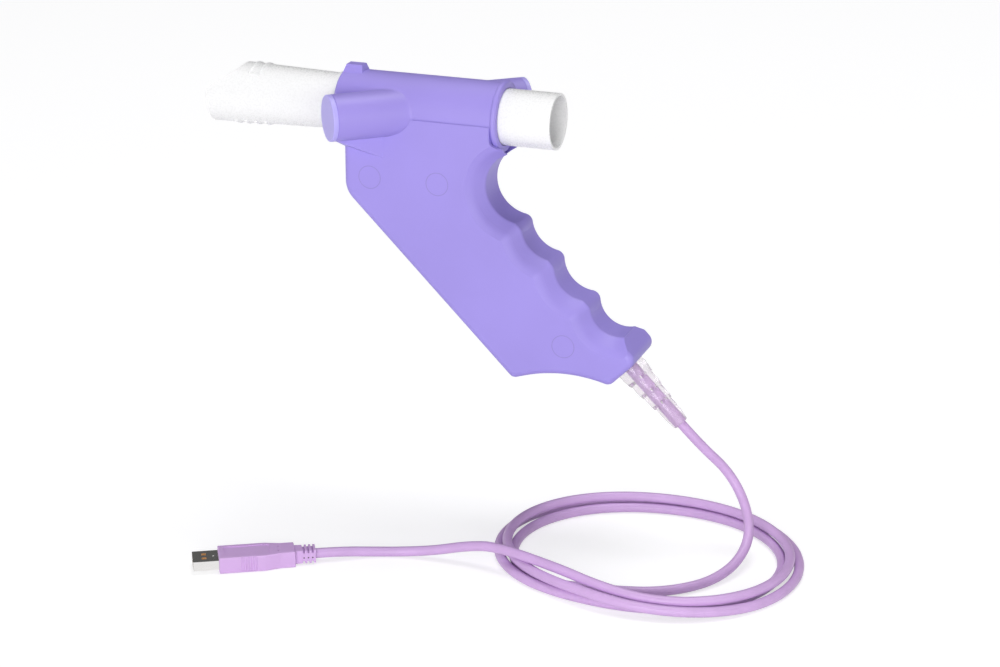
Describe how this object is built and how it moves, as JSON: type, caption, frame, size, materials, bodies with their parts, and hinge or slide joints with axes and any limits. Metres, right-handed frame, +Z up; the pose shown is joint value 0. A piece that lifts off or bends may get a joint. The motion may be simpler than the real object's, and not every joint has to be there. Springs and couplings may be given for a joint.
{
  "type": "hand-held spirometer",
  "caption": "Pistol-grip ultrasonic spirometer: removable oval-mouthed flow tube in a barrel with two sensor bosses, finger-grooved grip, strain relief and coiled USB lead.",
  "frame": {"origin": "middle of the grip, where the hand closes round it, in the plane where the half shells meet", "axes": "+X along the flow tube from the mouthpiece to the exhaust, +Z up, -Y towards the near side"},
  "size_m": [0.2993, 0.1541, 0.2161],
  "materials": {
    "shell_plastic": "satin lavender moulding",
    "cap_plastic": "satin, a little lighter",
    "tube_plastic": "smooth white",
    "window_mesh": "fine woven mesh",
    "transducer_metal": "plain can",
    "isolation_rubber": "matte",
    "lead_jacket": "smooth",
    "screw_steel": "zinc plated",
    "board_laminate": "solder mask",
    "chip_resin": "moulded resin",
    "crystal_can": "drawn can",
    "connector_plastic": "natural nylon",
    "relief_elastomer": "milky, half clear",
    "cable_jacket": "satin pink-violet",
    "plug_jacket": "satin pink-violet",
    "plug_steel": "nickel plated",
    "plug_resin": "white resin",
    "contact_gold": "gold flash"
  },
  "bodies": {
    "handle": {"sensor_barrel": "shell_plastic", "transducer_cap_front": "cap_plastic", "transducer_cap_rear": "cap_plastic", "transducer_front": "transducer_metal", "transducer_rear": "transducer_metal", "isolation_ring_front": "isolation_rubber", "isolation_ring_rear": "isolation_rubber", "transducer_lead_front": "lead_jacket", "transducer_lead_rear": "lead_jacket", "grip_shell_near": "shell_plastic", "grip_shell_far": "shell_plastic", "grip_screws": "screw_steel", "main_board": "board_laminate", "board_screws": "screw_steel", "processor_chip": "chip_resin", "signal_chip": "chip_resin", "timing_crystal": "crystal_can", "cable_socket": "connector_plastic", "lead_sockets": "connector_plastic", "cable_wires": "lead_jacket", "strain_relief_boot": "relief_elastomer", "cord_tail": "cable_jacket", "cord_drop": "cable_jacket", "cord_coil": "cable_jacket", "cord_lead": "cable_jacket", "plug_overmould": "plug_jacket", "plug_shell": "plug_steel", "plug_insert": "plug_resin", "plug_contacts": "contact_gold"},
    "flow_tube": {"flow_tube": "tube_plastic", "window_mesh_front": "window_mesh", "window_mesh_rear": "window_mesh"}
  },
  "joints": [
    {"name": "flow_tube_slide", "type": "slide", "parent": "handle", "child": "flow_tube", "axis": [-1, 0, 0], "range_m": [0, 0.11]}
  ]
}
